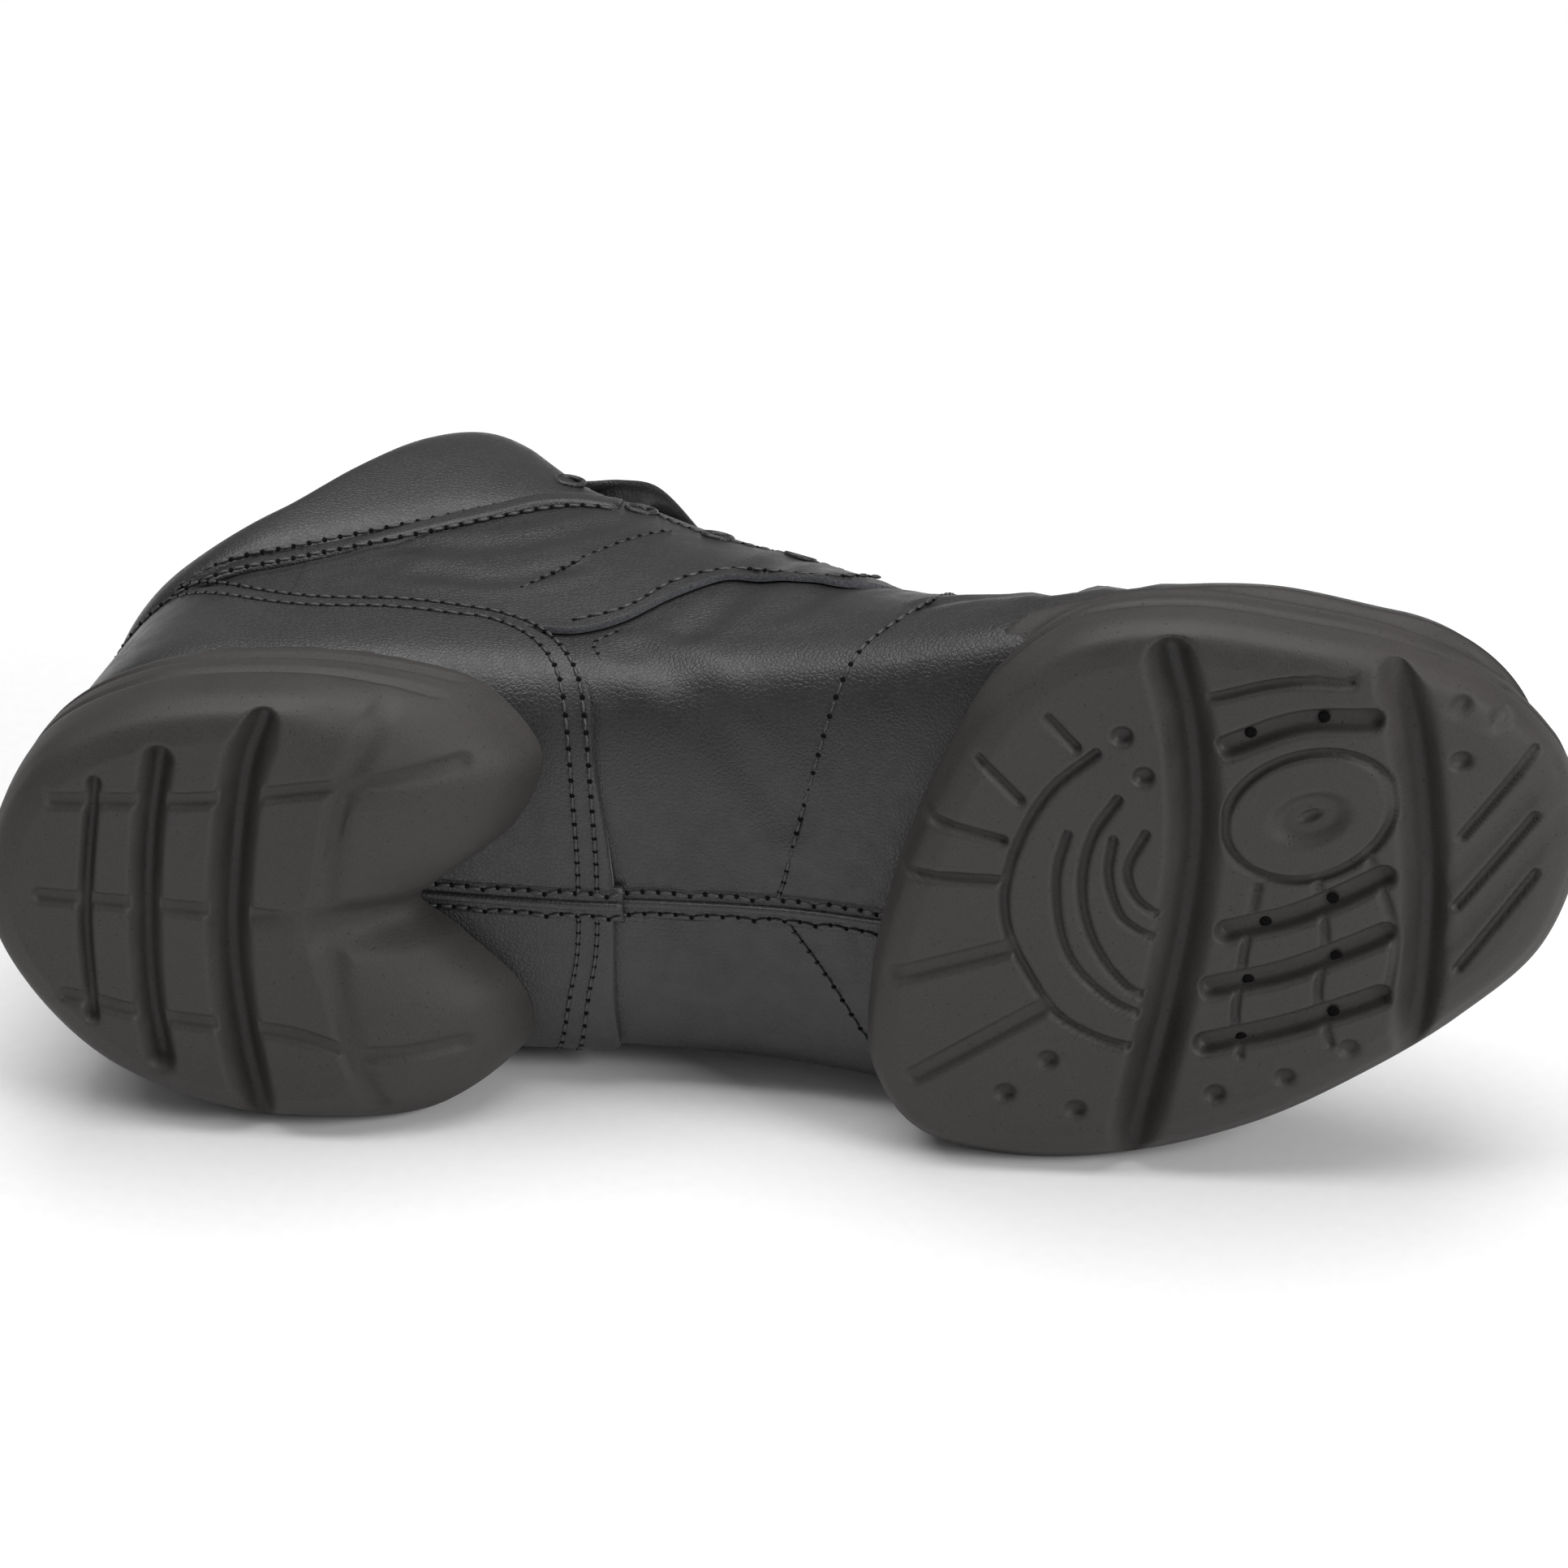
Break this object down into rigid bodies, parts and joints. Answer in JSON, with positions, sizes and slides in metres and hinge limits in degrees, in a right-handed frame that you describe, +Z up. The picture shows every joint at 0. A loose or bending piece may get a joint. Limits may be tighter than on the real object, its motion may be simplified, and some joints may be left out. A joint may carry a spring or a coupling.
{
  "type": "dance sneaker",
  "caption": "Low black leather dance sneaker with a split moulded sole, a padded collar cuff and laces, a left shoe lying on its lateral side.",
  "frame": {"origin": "centre of the overall box in plan, on the floor the shoe lies on", "axes": "+X runs along the shoe from heel to toe, +Y from the tread side towards the open collar side, +Z up out of the medial side"},
  "size_m": [0.2504, 0.1198, 0.0967],
  "materials": {
    "moulded_unit": "dark warm grey moulded polyurethane, matt with fine speckle",
    "upper_leather": "black soft leather with fine grain and a broad satin gloss",
    "lining_fabric": "black woven lining and insole cover",
    "lace_fabric": "black round braided lace"
  },
  "bodies": {
    "root": {"heel_sole": "moulded_unit", "forefoot_sole": "moulded_unit", "upper": "upper_leather", "insole": "lining_fabric", "tongue": "upper_leather", "heel_counter": "upper_leather", "quarter_medial": "upper_leather", "quarter_lateral": "upper_leather", "collar_cuff": "upper_leather", "laces": "lace_fabric"}
  },
  "joints": []
}
